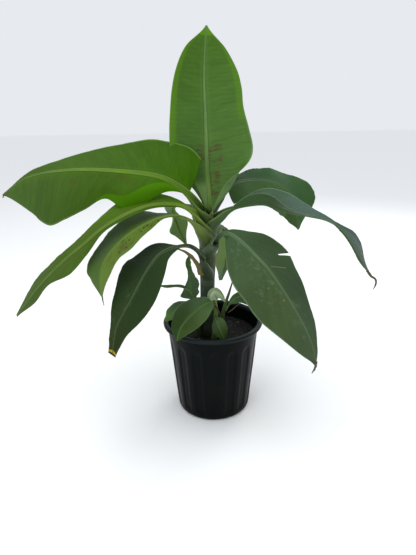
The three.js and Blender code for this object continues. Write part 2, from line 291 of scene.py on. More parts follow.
def shadeBy(tree, colour, tones):
    tones = addNode(tree, "CombineColor", dict(enumerate(tones))).outputs[0]
    return mixColour(tree, 1.0, colour, tones, "MULTIPLY")


leafDepth = (0.78, 0.82, 0.62)   # how much of its listed red, green and blue a leaf keeps


def markPattern(tree, mark, look, veinSpot, place):
    # how strongly a mark shows at each spot, before it is kept to its own part of the blade
    if mark["kind"] == "streaks":
        fine = noiseAt(tree, veinSpot, look["veins"] * 0.8, 3.0)
        return remap(tree, times(tree, fine, noiseAt(tree, place, mark["scale"])), 0.24, 0.32)
    if mark["kind"] == "spots":
        cells = addNode(tree, "TexVoronoi", {"Vector": place, "Scale": mark["scale"]}).outputs[0]
        return remap(tree, cells, mark["size"], mark["size"] * 0.6)
    if mark["kind"] == "dust":
        return remap(tree, noiseAt(tree, place, mark["scale"], 6.0, 0.75), 0.52, 0.72)
    return 1.0


def leafMaterial(name, look, under=False):
    look = {**plainLook, **look}
    material, tree, shader = newMaterial(name)
    _, along, sideways = leafMap(tree)
    across = times(tree, maths(tree, "ABSOLUTE", maths(tree, "SUBTRACT", sideways, 0.5)), 2.0)
    rightSide = maths(tree, "GREATER_THAN", sideways, 0.5)
    halves = [ramp(tree, along, list(zip((0.0, 0.5, 1.0), look[side]))) for side in ("left", "right")]
    colour = mixColour(tree, rightSide, *halves)
    # side veins run out from the midrib and lean towards the tip
    veinPlace = maths(tree, "SUBTRACT", along, times(tree, across, look["lean"]))
    veinAxes = {0: veinPlace, 1: times(tree, across, 0.02), 2: rightSide}
    veinSpot = addNode(tree, "CombineXYZ", veinAxes).outputs[0]
    fineVeins = noiseAt(tree, veinSpot, look["veins"], 4.0, 0.65)
    broadVeins = noiseAt(tree, veinSpot, look["veins"] * 0.22)
    veins = maths(tree, "ADD", times(tree, fineVeins, 0.6), times(tree, broadVeins, 0.4))
    place = objectPlace(tree)
    patches = noiseAt(tree, place, 9.0, 3.0)
    veinTone = remap(tree, veins, 0.3, 0.7, 1 - look["contrast"], 1 + look["contrast"])
    tone = times(tree, veinTone, remap(tree, patches, 0.3, 0.7, 0.9, 1.1))
    colour = shadeBy(tree, colour, [times(tree, tone, share) for share in leafDepth])
    # a paler flush beside the midrib and a thin pale margin
    flush = remap(tree, across, 0.0, 0.16, look["flush"], 0.0)
    colour = mixColour(tree, flush, colour, look["ribside"])
    edge = times(tree, remap(tree, across, 0.96, 0.985), look["edgeShare"])
    colour = mixColour(tree, edge, colour, look["edge"])
    for listed in look["marks"]:
        mark = {**plainMark, **listed}
        if mark["kind"] == "wedge":
            line = maths(tree, "MULTIPLY_ADD", across, mark["end"] - mark["start"], mark["start"])
            inside = remap(tree, maths(tree, "SUBTRACT", line, along), 0.0, mark["soft"])
            pattern = rightSide if mark["side"] > 0 else maths(tree, "SUBTRACT", 1.0, rightSide)
        else:
            inside = times(tree, band(tree, along, *mark["along"], mark["soft"]),
                           band(tree, sideways, *mark["across"], mark["soft"]))
            pattern = markPattern(tree, mark, look, veinSpot, place)
        colour = mixColour(tree, times(tree, inside, pattern, mark["share"]), colour, mark["colour"])
    if under:
        colour = mixColour(tree, 0.45, colour, look["under"])
    shine = remap(tree, patches, 0.3, 0.7, look["rough"] - 0.05, look["rough"] + 0.07)
    dress(tree, shader, colour, shine, look["gloss"], veins, 0.6, 0.0014)
    return material


def limbMaterial(name, stops, look):
    # sheath, stalk and midrib in one run of colour along the piece
    material, tree, shader = newMaterial(name)
    uv, along, girth = leafMap(tree)
    colour = ramp(tree, along, stops)
    fibreSpot = addNode(tree, "Mapping", {"Vector": uv, "Scale": (3.0, 60.0, 1.0)}).outputs[0]
    fibres = noiseAt(tree, fibreSpot, 1.0, 5.0, 0.6)
    patches = noiseAt(tree, objectPlace(tree), 26.0, 4.0)
    tone = times(tree, remap(tree, fibres, 0.3, 0.7, 0.86, 1.12), remap(tree, patches, 0.3, 0.7, 0.9, 1.1))
    colour = shadeBy(tree, colour, [tone] * 3)
    brown = remap(tree, patches, 0.52, 0.68, 0.0, look["brown"])
    low = remap(tree, along, look["brownTo"] - 0.1, look["brownTo"], 1.0, 0.0)
    colour = mixColour(tree, times(tree, brown, low), colour, "#5a4a34")
    # the two thin edges of the channel are paler and drier
    pale = remap(tree, maths(tree, "PINGPONG", girth, 0.25), 0.012, 0.03, 0.75, 0.0)
    colour = mixColour(tree, pale, colour, look["edge"])
    dress(tree, shader, colour, 0.5, 0.2, fibres, 0.4, 0.0008)
    return material


def potMaterial():
    look = {"base": "#030707", "worn": "#1c1814", "lip": "#1c2423", "rough": 0.34, "grain": 900.0}
    material, tree, shader = newMaterial("potPlastic")
    place = objectPlace(tree)
    dust = noiseAt(tree, place, 14.0, 6.0, 0.7)
    height = addNode(tree, "SeparateXYZ", {0: place}).outputs[2]
    # brown patches, strongest low on the sides, are a painted reflection of a brown floor; the dust noise
    # sets where they fall and how rough the plastic is
    low = remap(tree, height, 0.0, 0.2, 0.5, 0.12)
    worn = remap(tree, dust, 0.5, 0.8)
    colour = mixColour(tree, times(tree, worn, low), look["base"], look["worn"])
    # the top of the lip is painted lighter, a painted highlight along the rim
    lip = remap(tree, height, 0.264, 0.27)
    colour = mixColour(tree, lip, colour, look["lip"])
    shine = remap(tree, dust, 0.3, 0.7, look["rough"] - 0.06, look["rough"] + 0.12)
    dress(tree, shader, colour, shine, 0.07, noiseAt(tree, place, look["grain"]), 0.08, 0.0004)
    return material


def soilMaterial():
    look = {"dark": "#0e1110", "light": "#2a2a25", "scale": 130.0}
    material, tree, shader = newMaterial("pottingMix")
    crumbs = noiseAt(tree, objectPlace(tree), look["scale"], 7.0, 0.75)
    share = remap(tree, crumbs, 0.35, 0.75)
    colour = mixColour(tree, share, look["dark"], look["light"])
    dress(tree, shader, colour, 0.95, 0.2, crumbs, 1.0, 0.002)
    return material


def plainMaterial(name, code, rough, mottle=0.2, scale=160.0):
    material, tree, shader = newMaterial(name)
    speck = noiseAt(tree, objectPlace(tree), scale, 5.0)
    tone = remap(tree, speck, 0.3, 0.7, 1 - mottle, 1 + mottle)
    colour = shadeBy(tree, code, [tone] * 3)
    dress(tree, shader, colour, rough, 0.5, speck, 0.4, 0.0008)
    return material


# pot and soil, in millimetres
pot = {
    "height": 275, "rim": 142, "foot": 107, "wall": 2.2, "floor": 2.5, "lipDepth": 10, "lipReach": 12,
    "footRound": 12, "steps": 192, "outerRows": 44, "innerRows": 30,
    "sway": 0.5, "fluteCount": 16, "fluteTop": 232, "fluteFoot": 20, "fluteDepth": 2.6,
    "fluteShare": 0.62, "fluteArch": 16, "fluteTurn": 0.18, "holes": 6, "holeRing": 78, "holeRadius": 7,
}
potNeck = pot["rim"] - pot["lipReach"]
wallLow, wallHigh = pot["footRound"], pot["height"] - pot["lipDepth"] - 3
soilTop = 232


def fluteDip(turn, height):
    # how far a shallow flute with an arched top pulls the wall in
    part = (turn / (2 * math.pi) * pot["fluteCount"]) % 1.0 - 0.5
    half = pot["fluteShare"] / 2
    if abs(part) >= half:
        return 0.0
    arch = pot["fluteTop"] - pot["fluteArch"] * (part / half) ** 2
    top = ease((arch - height) / 7)
    foot = ease((height - pot["fluteFoot"]) / 8)
    side = ease((half - abs(part)) / (half * 0.32))
    return pot["fluteDepth"] * top * foot * side


def potOutline():
    # half of the pot in section: out over the foot, up the wall, round the lip and down inside
    foot, footRound, height = pot["foot"], pot["footRound"], pot["height"]
    outline = [(0, 0), (40, 0), (70, 0), (foot - footRound, 0)]
    for i in range(1, 6):
        turn = math.pi / 2 * i / 5
        outline.append((foot - footRound * (1 - math.sin(turn)), footRound * (1 - math.cos(turn))))
    for i in range(1, pot["outerRows"] + 1):
        share = i / pot["outerRows"]
        outline.append((foot + (potNeck - foot) * share, wallLow + (wallHigh - wallLow) * share))
    lipMiddle = (pot["rim"] - 5, height - 5.5)
    outline.append((potNeck + 1.5, height - pot["lipDepth"] - 0.6))
    for i in range(9):
        turn = math.radians(-80 + 170 * i / 8)
        outline.append((lipMiddle[0] + 5 * math.cos(turn), lipMiddle[1] + 5.5 * math.sin(turn)))
    outline += [(potNeck + 1, height - 0.3), (potNeck - 1, height - 1.6)]
    outline.append((potNeck - pot["wall"], height - 5))
    for i in range(1, pot["innerRows"] + 1):
        share = 1 - i / pot["innerRows"]
        reach = foot - pot["wall"] + (potNeck - foot) * share
        outline.append((reach, wallLow + 2 + (wallHigh - wallLow - 2) * share))
    return outline + [(foot - footRound - 1, pot["floor"]), (40, pot["floor"]), (0, pot["floor"])]


def makePot():
    bm = turnOutline(potOutline(), pot["steps"])
    for vert in bm.verts:
        reach = math.hypot(vert.co.x, vert.co.y)
        if reach < 60 * mm or vert.co.z > wallHigh * mm:
            continue
        turn = math.atan2(vert.co.y, vert.co.x) + pot["fluteTurn"]
        dip = fluteDip(turn, vert.co.z / mm) * mm
        sway = pot["sway"] * mm * noise.noise(vert.co * 9)
        scale = (reach - dip + sway * min(vert.co.z / 0.05, 1)) / reach
        vert.co.x *= scale
        vert.co.y *= scale
    bmesh.ops.recalc_face_normals(bm, faces=bm.faces)
    drillHoles(finishPiece("nurseryPot", bm, [potMaterial()], ["pot"]))


def drillHoles(piece):
    drill = bmesh.new()
    radius = pot["holeRadius"] * mm
    for i in range(pot["holes"]):
        turn = 2 * math.pi * (i + 0.5) / pot["holes"]
        x, y = (pot["holeRing"] * mm * part for part in (math.cos(turn), math.sin(turn)))
        bmesh.ops.create_cone(drill, cap_ends=True, segments=24, radius1=radius, radius2=radius,
                              depth=0.012, matrix=Matrix.Translation((x, y, 0)))
    cutter = addObject("drainDrill", meshFrom("drainDrill", drill))
    cut = piece.modifiers.new("drain", "BOOLEAN")
    cut.object = cutter
    cut.operation = "DIFFERENCE"
    graph = bpy.context.evaluated_depsgraph_get()
    mesh = bpy.data.meshes.new_from_object(piece.evaluated_get(graph))
    piece.modifiers.clear()
    piece.data = mesh
    bpy.data.objects.remove(cutter)


def soilRadius(height):
    share = (height - wallLow - 2) / (wallHigh - wallLow - 2)
    return pot["foot"] - pot["wall"] + (potNeck - pot["foot"]) * share - 0.6


def soilRelief(x, y):
    spot = Vector((x, y, 0))
    return (2.2 * noise.noise(spot * 60) + 1.6 * noise.noise(spot * 150) + 3 * noise.noise(spot * 14)) * mm


def makeSoil():
    soil = {"rings": 46, "steps": 144}
    edge = soilRadius(soilTop - 4)
    outline = [(edge * i / soil["rings"], soilTop - 2) for i in range(soil["rings"] + 1)]
    outline += [(soilRadius(120), 120), (pot["foot"] - 5, 15), (pot["foot"] - 14, 3), (0, 3)]
    bm = turnOutline(outline, soil["steps"])
    for vert in bm.verts:
        if vert.co.z > (soilTop - 6) * mm:
            vert.co.z += soilRelief(vert.co.x, vert.co.y)
    bmesh.ops.recalc_face_normals(bm, faces=bm.faces)
    finishPiece("pottingMix", bm, [soilMaterial()], ["soil"])


def makeBark():
    chips = {"count": 420, "low": 2.5, "high": 9.0,
             "codes": ("#1c1d1a", "#2c2a24", "#5a4e3e", "#121413"), "weights": (4, 3, 0.8, 3)}
    draw = random.Random(7)
    materials = [plainMaterial(f"barkChip{i}", code, 0.85, 0.25, 300)
                 for i, code in enumerate(chips["codes"])]
    bm = bmesh.new()
    for _ in range(chips["count"]):
        reach = soilRadius(soilTop) * math.sqrt(draw.random()) * 0.97
        turn = draw.uniform(0, 2 * math.pi)
        x, y = reach * math.cos(turn) * mm, reach * math.sin(turn) * mm
        long = draw.uniform(chips["low"], chips["high"]) * draw.uniform(0.6, 1.0)
        size = Vector((long, long * draw.uniform(0.35, 0.8), long * draw.uniform(0.15, 0.4))) * mm
        made = bmesh.ops.create_cube(bm, size=1.0)["verts"]
        for vert in made:
            vert.co = Vector(c * s * draw.uniform(0.6, 1.1) for c, s in zip(vert.co, size))
        spin = Matrix.Rotation(draw.uniform(0, 6.3), 4, "Z")
        spin = spin @ Matrix.Rotation(draw.uniform(-0.5, 0.5), 4, "X")
        height = (soilTop - 2) * mm + soilRelief(x, y) + size.z * 0.3
        bmesh.ops.transform(bm, verts=made, matrix=Matrix.Translation((x, y, height)) @ spin)
        shade = draw.choices(range(4), chips["weights"])[0]
        for face in {f for vert in made for f in vert.link_faces}:
            face.material_index = shade
    finishPiece("barkChips", bm, materials, smooth=False)


# leaves

# what a leaf's look and its marks are where the lists below say nothing
plainLook = dict(edgeShare=0.4, contrast=0.12, flush=0.25, rough=0.5, gloss=0.12, under="#8fa878", marks=[])
plainMark = {"kind": "all", "across": (0, 1), "soft": 0.05}
greens = dict(
    top=dict(left=("#47642f", "#476b2c", "#44691a"), right=("#517338", "#4a6e2f", "#44691a"),
         ribside="#567a3a", edge="#7d9a58", lean=0.03, veins=150, contrast=0.2, flush=0.3, under="#6c8858",
         marks=[
            dict(kind="streaks", along=(0.1, 0.36), across=(0.53, 0.64), soft=0.04, scale=40, share=0.8,
                 colour="#4a3420"),
            dict(kind="streaks", along=(0.1, 0.36), across=(0.4, 0.485), soft=0.03, scale=40, share=0.75,
                 colour="#4a3420"),
            # these three marks paint brighter yellow-green along both margins and at the tip: painted light
            # shining through the leaf from behind
            dict(along=(0.25, 1.0), across=(-0.1, 0.06), soft=0.06, share=0.6, colour="#4f7a08"),
            dict(along=(0.5, 1.0), across=(0.94, 1.1), share=0.5, colour="#4f7a08"),
            dict(along=(0.955, 1.1), soft=0.012, share=0.7, colour="#57840c"),
            dict(along=(0.0, 0.13), across=(0.2, 0.47), share=0.5, colour="#7c9a5c"),
         ]),
    leftHigh=dict(left=("#3c6600", "#42601c", "#4a6434"), right=("#386000", "#446322", "#4a622c"),
         ribside="#4e7410", edge="#7f9a58", lean=0.06, veins=130, contrast=0.2, flush=0.2, gloss=0.05,
         marks=[
            dict(kind="wedge", side=-1, start=0.1, end=0.47, soft=0.012, share=0.95, colour="#407000"),
            dict(kind="streaks", along=(0.3, 0.6), across=(0.36, 0.49), scale=22, share=0.6,
                 colour="#4a3c1c"),
         ]),
    leftLong=dict(left=("#3e5e04", "#4a6424", "#4e623b"), right=("#507014", "#4a6818", "#4b6030"),
         ribside="#4e7010", edge="#7f9a58", lean=0.1, veins=120, contrast=0.2, flush=0.2, gloss=0.05,
         marks=[
            dict(kind="wedge", side=1, start=0.12, end=0.42, soft=0.02, share=0.85, colour="#4a7400"),
            dict(kind="streaks", along=(0.3, 0.9), across=(0.3, 0.7), scale=18, share=0.3,
                 colour="#4a4428"),
         ]),
    leftMid=dict(left=("#4c6814", "#627a34", "#6a8044"), right=("#42600e", "#3c581c", "#587240"),
         ribside="#5d7a1e", edge="#93a670", edgeShare=0.6, lean=0.15, veins=90, gloss=0.05,
         marks=[
            dict(kind="spots", along=(0.25, 0.6), across=(0.16, 0.4), soft=0.06, scale=120, size=0.34,
                 share=0.85, colour="#2c2618"),
            dict(kind="streaks", along=(0.3, 0.7), across=(0.15, 0.4), soft=0.06, scale=40, share=0.6,
                 colour="#4a4426"),
            dict(kind="dust", along=(0.34, 0.58), across=(0.34, 0.47), soft=0.03, scale=46, share=0.9,
                 colour="#2a2416"),
         ]),
    # its greens are painted dark: painted shade for a leaf that hangs in shade
    leftLow=dict(left=("#34472e", "#2a3b24", "#2e3a1c"), right=("#2b4026", "#2f4326", "#343f20"),
         ribside="#32462c", edge="#3f5430", lean=0.2, veins=90, contrast=0.09, flush=0.15, rough=0.55,
         gloss=0.03, under="#4a6240",
         marks=[
            dict(kind="dust", along=(0.5, 0.85), across=(0.5, 0.85), soft=0.08, scale=70, share=0.3,
                 colour="#5c6f60"),
            dict(along=(0.962, 0.98), soft=0.006, share=0.9, colour="#a8901c"),
            dict(along=(0.984, 1.2), soft=0.006, share=0.95, colour="#20150f"),
         ]),
    rightBack=dict(left=("#253f26", "#335836", "#44623c"), right=("#466240", "#446238", "#405a36"),
         ribside="#446238", edge="#52704a", lean=0.1, veins=90, contrast=0.1, rough=0.55, gloss=0.04),
    # the middle and tip of its left half are painted blue-grey, a painted reflection of the sky on the half
    # that faces up
    rightArch=dict(left=("#3f5a36", "#5a6e70", "#485a58"), right=("#405c34", "#40593c", "#465a44"),
         ribside="#557448", edge="#869a88", edgeShare=0.5, lean=0.12, veins=110, flush=0.2, rough=0.45,
         under="#3e5436",
         marks=[
            dict(along=(0.86, 0.885), across=(-0.1, 0.12), soft=0.015, share=0.9, colour="#2c2018"),
            dict(along=(0.97, 1.1), soft=0.01, share=0.8, colour="#4f452c"),
         ]),
    rightLow=dict(left=("#3e5539", "#3c4f3a", "#4b5b4a"), right=("#3a5236", "#465a3a", "#465840"),
         ribside="#4e6842", edge="#6f8868", edgeShare=0.5, lean=0.25, veins=90, contrast=0.14, flush=0.2,
         rough=0.46,
         marks=[
            dict(kind="dust", along=(0.12, 0.5), across=(0.54, 0.8), soft=0.06, scale=60, share=0.4,
                 colour="#74826c"),
            dict(kind="dust", along=(0.6, 0.95), across=(0.3, 0.62), soft=0.06, scale=60, share=0.35,
                 colour="#74826c"),
            dict(kind="spots", along=(0.2, 0.8), across=(0.3, 0.8), scale=30, size=0.09, share=0.7,
                 colour="#8a7458"),
            dict(along=(0.353, 0.354), across=(0.2, 0.45), soft=0.002, share=0.7, colour="#8a8270"),
         ]),
    backLeft=dict(left=("#5c8404", "#588812", "#52700e"), right=("#5c8404", "#547c08", "#6a7c20"),
         ribside="#5a7c10", edge="#7a7430", edgeShare=0.7, lean=0.15, veins=60, contrast=0.1, flush=0.2,
         rough=0.55, gloss=0.04,
         marks=[
            dict(along=(0.2, 0.42), across=(0, 0.36), share=0.8, colour="#5a7c66"),
         ]),
    backRight=dict(left=("#56762a", "#729000", "#587440"), right=("#4c6838", "#546c38", "#4c6848"),
         ribside="#5c7818", edge="#8a802c", edgeShare=0.8, lean=0.15, veins=50, contrast=0.1, flush=0.2,
         rough=0.55, gloss=0.04,
         marks=[
            dict(along=(0.8, 1.1), soft=0.02, share=0.9, colour="#3f5c50"),
         ]),
    young=dict(left=("#5a7650", "#44592f", "#3a521e"), right=("#587258", "#3e5632", "#354a20"),
         ribside="#54743a", edge="#7d9a60", edgeShare=0.5, lean=0.3, veins=34, contrast=0.1, flush=0.4,
         rough=0.45),
    silver=dict(left=("#a4b4a0", "#8c9c86", "#74876e"), right=("#c0ccba", "#aebca6", "#7c9072"),
         ribside="#a4b29a", edge="#b8c4b0", edgeShare=0.6, lean=0.3, veins=30, contrast=0.14, flush=0.3,
         rough=0.55, under="#3a5232"),
    shade=dict(left=("#64805e", "#66805f", "#5e8430"), right=("#587456", "#587456", "#648c2c"),
         ribside="#6c8a64", edge="#5f7a5c", edgeShare=0.5, lean=0.3, veins=34, flush=0.3, rough=0.55),
)

# Spines run from the foot of the stalk to the tip, in millimetres. left and right are half widths at
# even steps along the blade, and each half leaves the midrib at a lift and bends by a fold halfway out.
# layer counts the sheaths that lie outside a leaf's own, which runs up the stem from sheathFrom. limb
# lists the colours at the sheath's foot, where it leaves the stem, and at the blade's start, middle and tip.
plainLeaf = dict(parts=("inner", "outer"), leftLift=[0, 0], rightLift=[0, 0], leftFold=[0, 0],
                 rightFold=[0, 0], ruffle=1.2, shear=0.05, waves=4, leftRoll=[0, 0], rightRoll=[0, 0],
                 leftLobe=0, rightLobe=0, blend=120, tear=None)
leaves = [
    dict(node="leaf_top", look="top", keel=(0, 1), layer=9, sheathFrom=470, spine=[(-8, -2, 560),
         (-6, 4, 600), (-10, 20, 695), (-12, 46, 815), (-14, 68, 930), (-6, 80, 1032)], face=(0, -1, 0.15),
         stalk=(13, 7), bladeFrom=0.06, blend=60, left=[12, 34, 72, 92, 94, 90, 83, 70, 47, 2],
         right=[20, 84, 118, 122, 112, 99, 95, 82, 52, 2], leftLift=[0, 5, 10, 10, 5],
         rightLift=[30, 20, 15, 10, 5], rightFold=[30, 0, 0, 0, 0, 0],
         rightRoll=[150, 150, 60, 0, 0, 0, 0, 0, 0, 0], shear=0.02, waves=3,
         limb=("#3c4a34", "#56703a", "#607e38", "#5f7f40", "#587848")),
    dict(node="leaf_left_high", look="leftHigh", keel=(-1, -0.3), layer=7, sheathFrom=450,
         spine=[(-10, -12, 540), (-25, -20, 585), (-60, -35, 640), (-115, -50, 680), (-220, -60, 700),
         (-350, -70, 705), (-440, -80, 690), (-505, -80, 650)], face=(0, -0.8, 1), stalk=(12, 10),
         bladeFrom=0.19, left=[6, 32, 78, 101, 72, 100, 121, 132, 88, 2],
         right=[88, 106, 119, 104, 85, 63, 41, 24, 9, 2], rightLobe=-0.045,
         leftLift=[0, -10, -20, -20, -10], rightLift=[45, 5, 0, 0, 0, 0, 0], leftFold=[-60, -60, -20, 0, 0],
         limb=("#37432f", "#37452a", "#4e7014", "#5c8408", "#4c6236")),
    dict(node="leaf_left_long", look="leftLong", keel=(-1, -0.6), layer=4, sheathFrom=400,
         spine=[(-14, -16, 510), (-30, -35, 575), (-70, -50, 610), (-115, -70, 621), (-157, -90, 620),
         (-210, -112, 603), (-262, -132, 575), (-306, -145, 541), (-357, -152, 502), (-424, -158, 438),
         (-485, -160, 365)], face=(-0.1, -0.6, 1), stalk=(11, 7), bladeFrom=0.16,
         left=[5, 10, 12, 12, 12, 26, 36, 17, 18, 2], right=[6, 42, 64, 60, 40, 37, 30, 38, 32, 7],
         leftLift=[-30, -30, -30], rightLift=[0, -10, -10], shear=0.08, ruffle=1.5, waves=6,
         limb=("#343f2e", "#35422a", "#6a8620", "#567414", "#50663a")),
    dict(node="leaf_left_mid", look="leftMid", keel=(-0.7, -1), layer=3, sheathFrom=380,
         spine=[(-14, -22, 485), (-35, -45, 555), (-75, -70, 590), (-115, -95, 595), (-165, -120, 580),
         (-215, -145, 550), (-255, -165, 505), (-266, -180, 460), (-265, -182, 422)], face=(-0.3, -0.3, 1),
         stalk=(10, 6), bladeFrom=0.24, left=[5, 10, 8, 20, 30, 38, 34, 31, 20, 3],
         right=[5, 46, 80, 98, 93, 94, 82, 66, 43, 2], leftLift=[-40, -30, -10], rightLift=[-12, -5, -5, 0],
         shear=0.08, ruffle=1.5, waves=5, limb=("#343f2e", "#37442c", "#6a8034", "#557210", "#56703a")),
    dict(node="leaf_left_low", look="leftLow", keel=(-0.9, -0.6), layer=0, sheathFrom=226,
         spine=[(-15, -20, 395), (-27, -60, 480), (-55, -90, 517), (-85, -115, 524), (-125, -140, 514),
         (-155, -165, 482), (-195, -190, 415), (-230, -208, 355), (-246, -216, 284)],
         face=(-0.8, -0.9, 0.6), stalk=(9, 5), bladeFrom=0.35, left=[5, 20, 38, 54, 62, 62, 54, 43, 29, 13],
         right=[6, 62, 100, 110, 102, 82, 56, 28, 18, 16], leftLift=[-10, -5, 0], rightLift=[-25, -10, 0],
         shear=0.1, limb=("#2f3b2e", "#34402e", "#38462e", "#33472b", "#303c22")),
    dict(node="leaf_right_back", look="rightBack", keel=(0.8, 0.7), layer=8, sheathFrom=460,
         spine=[(-2, 14, 555), (30, 30, 625), (65, 60, 650), (120, 110, 652), (190, 155, 636),
         (248, 190, 590), (279, 215, 480)], face=(0.2, -0.7, 1), stalk=(10, 6), bladeFrom=0.2,
         left=[5, 16, 34, 50, 57, 74, 90, 126, 100, 12], right=[40, 74, 80, 84, 106, 108, 96, 66, 38, 3],
         rightLobe=0.05, leftLift=[0, 0, -10], rightLift=[-20, -20, -15, -5, 10], ruffle=2.2, waves=8,
         limb=("#364230", "#34482e", "#385034", "#42593c", "#46623e")),
    dict(node="leaf_right_arch", look="rightArch", keel=(1, -0.3), layer=6, sheathFrom=430,
         spine=[(-4, -12, 520), (10, -18, 560), (27, -22, 582), (54, -32, 601), (90, -42, 611),
         (133, -55, 615), (159, -62, 606), (202, -76, 595), (239, -85, 589), (279, -93, 580),
         (305, -99, 566), (330, -105, 540), (351, -109, 509), (371, -112, 476), (392, -114, 445)],
         face=(0.3, -0.3, 1), stalk=(12, 8), bladeFrom=0.18, left=[5, 26, 47, 52, 36, 15, 12, 44, 50, 8],
         right=[5, 32, 48, 44, 18, 8, 8, 8, 8, 2], leftLift=[50, 30, 0], rightLift=[60, 55, 20, -30, -30],
         ruffle=1.5, waves=6, limb=("#343f2a", "#3c4c28", "#3e5a2c", "#4a6238", "#4c6048")),
    dict(node="leaf_right_low", look="rightLow", keel=(0.6, -1), layer=1, sheathFrom=300,
         spine=[(-4, -22, 470), (10, -45, 520), (22, -57, 536), (44, -80, 545), (72, -105, 530),
         (102, -128, 504), (131, -150, 476), (177, -180, 412), (221, -202, 336), (240, -208, 290),
         (250, -210, 240)], face=(0.6, -1, 0.5), stalk=(10, 6), bladeFrom=0.17, blend=70,
         left=[5, 33, 69, 78, 70, 62, 46, 33, 13, 2], right=[6, 40, 76, 96, 98, 97, 81, 61, 37, 2],
         rightLift=[-20, -5, 0], shear=0.12, waves=5,
         tear=dict(side=-1, at=0.27, start=0.62, gap=0.005, spread=0.04),
         limb=("#323c2c", "#44563a", "#50684a", "#4c6440", "#50624a")),
    dict(node="leaf_back_left", look="backLeft", keel=(-0.7, 1), layer=5, sheathFrom=420,
         spine=[(-14, 14, 510), (-34, 28, 555), (-50, 50, 584), (-75, 85, 588), (-99, 125, 582),
         (-114, 160, 557), (-108, 182, 520), (-77, 195, 436)], face=(-0.3, 0.9, 0.2), stalk=(9, 5),
         bladeFrom=0.42, parts=("blade",), left=[4, 46, 34, 22, 6, 10, 32, 20, 9, 2],
         right=[4, 4, 4, 6, 16, 34, 32, 18, 8, 2], leftLift=[-10, -10], rightLift=[-10, -10], shear=0.06,
         ruffle=3, limb=("#364230", "#405430", "#5c7820", "#54740c", "#56702c")),
    dict(node="leaf_back_right", look="backRight", keel=(0.3, 1), layer=2, sheathFrom=360,
         spine=[(-4, 14, 475), (10, 45, 520), (32, 88, 522), (46, 122, 475), (46, 148, 410),
         (30, 155, 335)], face=(-0.3, 0.9, 0.3), stalk=(8, 5), bladeFrom=0.34, parts=("blade",),
         left=[5, 24, 34, 43, 45, 32, 10], right=[4, 16, 22, 24, 18, 10, 3], leftLift=[-20, -20],
         rightLift=[-20, -20], shear=0.06, ruffle=3,
         limb=("#364230", "#405430", "#4c6830", "#4c6630", "#64803a")),
]

stem = {
    "spine": [(-8, 0, 224), (-10, 0, 270), (-14, 0, 360), (-11, 0, 470), (-9, 0, 545), (-8, 3, 580)],
    "radii": [29, 24, 20.5, 22, 24, 13], "layer": 0.75,
}
stemRoute = Route(stem["spine"])
stemLow, stemHigh = stem["spine"][0][2], stem["spine"][-1][2]


def stemAt(height):
    share = (height - stemLow) / (stemHigh - stemLow)
    return stemRoute.at(share), between(stem["radii"], share)


def frameAt(route, share, face):
    along = route.along(share)
    across = along.cross(face).normalized()
    return route.at(share), along, across, across.cross(along)


# where a half blade folds and rolls as shares of its width, its pleats and cells in metres, and its
# ripples and drift in millimetres
bladeForm = {
    "steps": 24, "lobeReach": 0.2, "foldFrom": 0.3, "foldSpan": 0.4, "rollFrom": 0.66, "rollSpan": 0.16,
    "calmEnd": 0.12, "pleat": 0.22, "pleatGap": 0.011, "bigLength": 0.3, "bigCell": 0.0026,
    "smallCell": 0.003, "bigRows": 22, "smallRows": 14, "thickness": 0.0007, "ripple": 2.4,
    "rippleSteep": 2.5, "crinkle": 0.7, "crinkleSteep": 5, "drift": 4,
}


def bladePoint(leaf, side, u, v):
    # a point of one half of a blade: u runs from the stalk to the tip and v from the midrib to the margin
    form = bladeForm
    key = "left" if side < 0 else "right"
    slip = leaf[key + "Lobe"] * v * max(1 - u / form["lobeReach"], 0) ** 2
    share = leaf["bladeFrom"] + (1 - leaf["bladeFrom"]) * u - slip
    point, _, across, normal = frameAt(leaf["route"], share, leaf["faceVector"])
    width = between(leaf[key], u) * mm
    lift, fold, roll = (between(leaf[key + turn], u) for turn in ("Lift", "Fold", "Roll"))
    start = min(ribRadius(leaf, u) * 0.9, width * 0.9)
    place = point + across * side * start
    angle = math.radians(lift)
    for k in range(form["steps"]):
        w = (k + 0.5) / form["steps"] * v
        folded = fold * ease((w - form["foldFrom"]) / form["foldSpan"])
        angle = math.radians(lift + folded + roll * ease((w - form["rollFrom"]) / form["rollSpan"]))
        reach = (width - start) * v / form["steps"]
        place += across * side * reach * math.cos(angle) + normal * reach * math.sin(angle)
    facing = normal * math.cos(angle) - across * side * math.sin(angle)
    seed = leaf["layer"] * 3.7 + side
    room = ease(u / form["calmEnd"]) * ease((1 - u) / form["calmEnd"])
    wave = u * leaf["waves"]
    ripple = leaf["ruffle"] * form["ripple"] * noise.noise(Vector((wave * 1.6, seed, 3.0)))
    ripple *= v ** form["rippleSteep"]
    crinkle = leaf["ruffle"] * form["crinkle"] * noise.noise(Vector((wave * 6, seed, 7.0)))
    crinkle *= v ** form["crinkleSteep"]
    pleat = form["pleat"] * math.sin(2 * math.pi * u * leaf["bladeLength"] / form["pleatGap"])
    pleat = pleat * ease(v * 4) * ease((1.1 - v) * 4)
    drift = form["drift"] * noise.noise(Vector((u * 3.2, v * 1.4 * side, seed))) * v
    return place + facing * (ripple + crinkle + pleat + drift) * room * mm


def ribRadius(leaf, u):
    if leaf["stalk"][1] < 4:
        return (leaf["stalk"][1] * 0.4 * (1 - u) + 0.35) * mm
    return (leaf["stalk"][1] * 0.8 * (1 - u) ** 0.9 + 0.8) * mm


